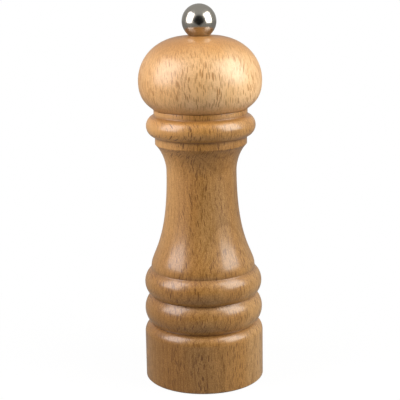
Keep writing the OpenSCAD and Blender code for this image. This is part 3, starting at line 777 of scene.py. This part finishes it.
def breakEdgesOf(name, width):
    piece = bpy.data.objects.new(name + "Softened", nodes[name].data.copy())
    bpy.context.scene.collection.objects.link(piece)
    pickOnly(piece)
    bpy.ops.object.mode_set(mode="EDIT")
    mergeDoubles()
    bpy.ops.mesh.dissolve_limited(angle_limit=math.radians(softening["flatAngle"]))
    bpy.ops.object.mode_set(mode="OBJECT")
    # the housing's shortest edges would hold a clamped bevel to nothing
    roundEdges(piece, width, softening["sharpness"], clamped=name != "mechanism_housing")
    shadeSmooth(piece)
    putOnBody(piece, bodyOf[name], slotOf[name], name)


for name, width in brokenEdges.items():
    breakEdgesOf(name, width)
print("edges broken on", len(brokenEdges), "pieces")


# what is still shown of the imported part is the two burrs, which keep their shape
for name, node in nodes.items():
    if not node.hide_render:
        paint(node, slotOf[name])
print("burrs painted")


# floor, light and camera, in metres and watts, with the lamps' turn in degrees and the
# camera's angles in radians. A step is where a soft change starts and ends. The two
# weights take how far aside and how far back a place lies into how far ahead it counts.
studio = {
    "lampTurn": 68, "lampReach": 0.31, "lampHeight": 0.31, "lampAim": 0.16,
    "lampWide": 0.26, "lampTall": 0.34, "leftPower": 1.65, "rightPower": 1.85,
    "leftColour": (1.0, 0.95, 0.95), "rightColour": (1.0, 0.98, 0.93), "roomColour": (1.0, 0.98, 0.95, 1),
    "fill": 0.05, "backFill": 0.55, "backStep": (-0.05, 0.85), "underFill": 0.6, "underStep": (-0.05, -0.3),
    "wall": 0.3, "backWall": 0.45, "wallStep": (0.2, 0.8), "ceiling": 0.5, "ceilingStep": (0.25, 0.95),
    "front": 0.0, "frontWay": (0.0, -0.998, 0.06), "frontStep": (0.7, 0.85),
    "floorRadius": 6, "floorHeight": -0.0002, "floorTone": 0.35, "floorOpening": 0.0315,
    "plainStep": (0.05, 0.2), "leastPlain": 0.96, "aheadWeights": (-1.0, -0.75), "aheadStep": (0.2, 0.36)}
view = {
    "distance": 0.6005, "height": 0.237077, "pitch": 0.226, "yaw": 0.0018, "roll": -0.0171,
    "lens": 102.6, "sensor": 36, "near": 0.01, "far": 50}


def mixShaders(tree, share, first, second):
    return addNode(tree, "ShaderNodeMixShader", {0: share, 1: first, 2: second}).outputs[0]


def floorMaterial():
    material = bpy.data.materials.new("paleFloor")
    material.use_nodes = True
    tree = material.node_tree
    tree.nodes.clear()
    path = addNode(tree, "ShaderNodeLightPath").outputs
    seen, mirrored = path["Is Camera Ray"], path["Is Glossy Ray"]
    tone = smoothStep(tree, seen, 0.0, 1.0, studio["floorTone"], 1.0)
    matt = addNode(tree, "ShaderNodeBsdfDiffuse", {"Color": tone}).outputs[0]
    white = addNode(tree, "ShaderNodeEmission", {"Color": (1, 1, 1, 1), "Strength": 1.0}).outputs[0]
    place = addNode(tree, "ShaderNodeTexCoord").outputs["Object"]
    across, back = splitXyz(tree, place)[:2]
    out = vectorCalc(tree, "LENGTH", place)["Value"]
    # the shadow shows near the foot, and the floor runs out to plain white
    plain = smoothStep(tree, out, *studio["plainStep"], studio["leastPlain"], 1.0)
    mixed = mixShaders(tree, calc(tree, "MULTIPLY", seen, plain), matt, white)
    # mirrors find the floor as grey as the walls, and dark towards the room in front
    sideWeight, backWeight = studio["aheadWeights"]
    aside = calc(tree, "MULTIPLY", calc(tree, "ABSOLUTE", across), sideWeight)
    ahead = calc(tree, "ADD", calc(tree, "MULTIPLY", back, backWeight), aside)
    tone = smoothStep(tree, ahead, *studio["aheadStep"], studio["wall"], studio["front"])
    values = {"Color": studio["roomColour"], "Strength": tone}
    mixed = mixShaders(tree, mirrored, mixed, addNode(tree, "ShaderNodeEmission", values).outputs[0])
    # clear from below and under the foot, so that the mouth of the mill can be looked into
    below = addNode(tree, "ShaderNodeNewGeometry").outputs["Backfacing"]
    opening = calc(tree, "MAXIMUM", below, calc(tree, "LESS_THAN", out, studio["floorOpening"]))
    mixed = mixShaders(tree, opening, mixed, addNode(tree, "ShaderNodeBsdfTransparent").outputs[0])
    addNode(tree, "ShaderNodeOutputMaterial", {"Surface": mixed})
    return material


def buildFloor():
    deselectAll()
    place = (0, 0, studio["floorHeight"])
    bpy.ops.mesh.primitive_circle_add(
        vertices=64, radius=studio["floorRadius"], fill_type="NGON", location=place)
    floor = bpy.context.active_object
    bpy.ops.object.transform_apply(location=True, rotation=True, scale=True)
    floor.name = "floor"
    floor.data.materials.append(floorMaterial())


def buildWorld():
    world = bpy.data.worlds.new("studio")
    bpy.context.scene.world = world
    world.use_nodes = True
    tree = world.node_tree
    tree.nodes.clear()
    heading = addNode(tree, "ShaderNodeTexCoord").outputs["Generated"]
    back, up = splitXyz(tree, heading)[1:]
    # the dark room behind the camera, the grey walls and the paler ceiling
    front = vectorCalc(tree, "DOT_PRODUCT", heading, studio["frontWay"])["Value"]
    backdrop = smoothStep(tree, back, *studio["wallStep"], studio["wall"], studio["backWall"])
    overhead = smoothStep(tree, up, *studio["ceilingStep"], backdrop, studio["ceiling"])
    room = smoothStep(tree, front, *studio["frontStep"], overhead, studio["front"])
    # mirrors see the room, matt surfaces a faint fill that grows towards the back and from
    # below, and the camera sees white
    path = addNode(tree, "ShaderNodeLightPath").outputs
    behind = smoothStep(tree, back, *studio["backStep"], studio["fill"], studio["backFill"])
    around = smoothStep(tree, up, *studio["underStep"], behind, studio["underFill"])
    strength = smoothStep(tree, path["Is Glossy Ray"], 0.0, 1.0, around, room)
    values = {"Color": studio["roomColour"], "Strength": strength}
    lit = addNode(tree, "ShaderNodeBackground", values).outputs[0]
    white = addNode(tree, "ShaderNodeBackground", {"Color": (1, 1, 1, 1), "Strength": 1.0}).outputs[0]
    seen = mixShaders(tree, path["Is Camera Ray"], lit, white)
    addNode(tree, "ShaderNodeOutputWorld", {"Surface": seen})


def addSoftbox(name, side, power, colour):
    turn = math.radians(side * studio["lampTurn"])
    reach = studio["lampReach"]
    place = Vector((math.sin(turn) * reach, -math.cos(turn) * reach, studio["lampHeight"]))
    deselectAll()
    bpy.ops.object.light_add(type="AREA", location=place)
    lamp = bpy.context.active_object
    lamp.name = name
    lamp.data.shape = "RECTANGLE"
    lamp.data.size, lamp.data.size_y = studio["lampWide"], studio["lampTall"]
    lamp.data.energy, lamp.data.color = power, colour
    aim = Vector((0, 0, studio["lampAim"])) - place
    lamp.rotation_euler = aim.to_track_quat("-Z", "Y").to_euler()


def addCamera():
    deselectAll()
    bpy.ops.object.camera_add(location=(0, -view["distance"], view["height"]))
    camera = bpy.context.active_object
    turned = Matrix.Rotation(view["yaw"], 3, "Z") @ Matrix.Rotation(math.pi / 2 - view["pitch"], 3, "X")
    camera.rotation_euler = (turned @ Matrix.Rotation(view["roll"], 3, "Z")).to_euler()
    camera.data.lens, camera.data.sensor_width = view["lens"], view["sensor"]
    camera.data.clip_start, camera.data.clip_end = view["near"], view["far"]
    bpy.context.scene.camera = camera


buildFloor()
buildWorld()
addSoftbox("leftSoftbox", -1, studio["leftPower"], studio["leftColour"])
addSoftbox("rightSoftbox", 1, studio["rightPower"], studio["rightColour"])
addCamera()
bpy.context.scene.view_settings.view_transform = "Standard"
print("studio ready")
